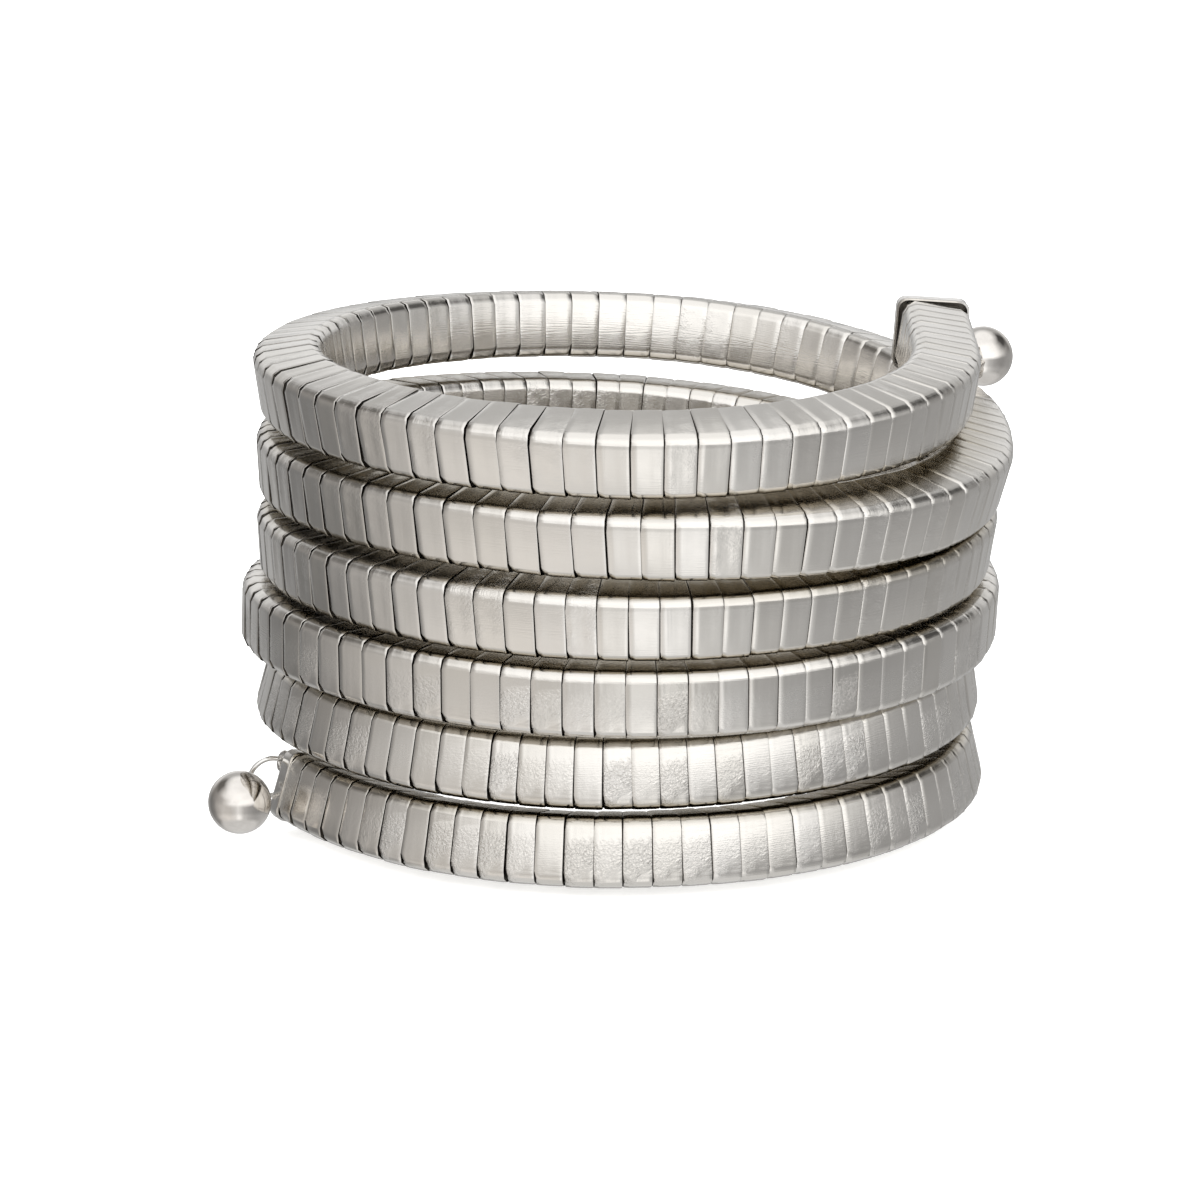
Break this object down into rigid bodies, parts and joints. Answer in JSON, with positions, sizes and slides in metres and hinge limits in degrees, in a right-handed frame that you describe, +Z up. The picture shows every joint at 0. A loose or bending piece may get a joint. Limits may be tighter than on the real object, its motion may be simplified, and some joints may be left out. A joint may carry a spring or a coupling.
{
  "type": "spiral bangle",
  "caption": "Springy strip of folded square box links wound into a stacked spiral bangle, with a capped end above and below and a small polished ball hung from each cap.",
  "frame": {"origin": "middle of the bangle's footprint on the table, at its lowest point", "axes": "+Z up along the axis of the coil, -Y the front as pictured, +X to the right"},
  "size_m": [0.0806, 0.0794, 0.0485],
  "materials": {
    "link_metal": "silver-tone sheet, polished on the roundings and satin on the flats",
    "cap_metal": "silver-tone sheet, polished",
    "ring_wire": "bright silver-tone wire",
    "ball_metal": "polished silver-tone"
  },
  "bodies": {
    "root": {"link_strip_upper": "link_metal", "link_strip_lower": "link_metal", "top_cap": "cap_metal", "bottom_cap": "cap_metal", "top_jump_ring": "ring_wire", "bottom_jump_ring": "ring_wire", "top_ball": "ball_metal", "bottom_ball": "ball_metal"}
  },
  "joints": []
}
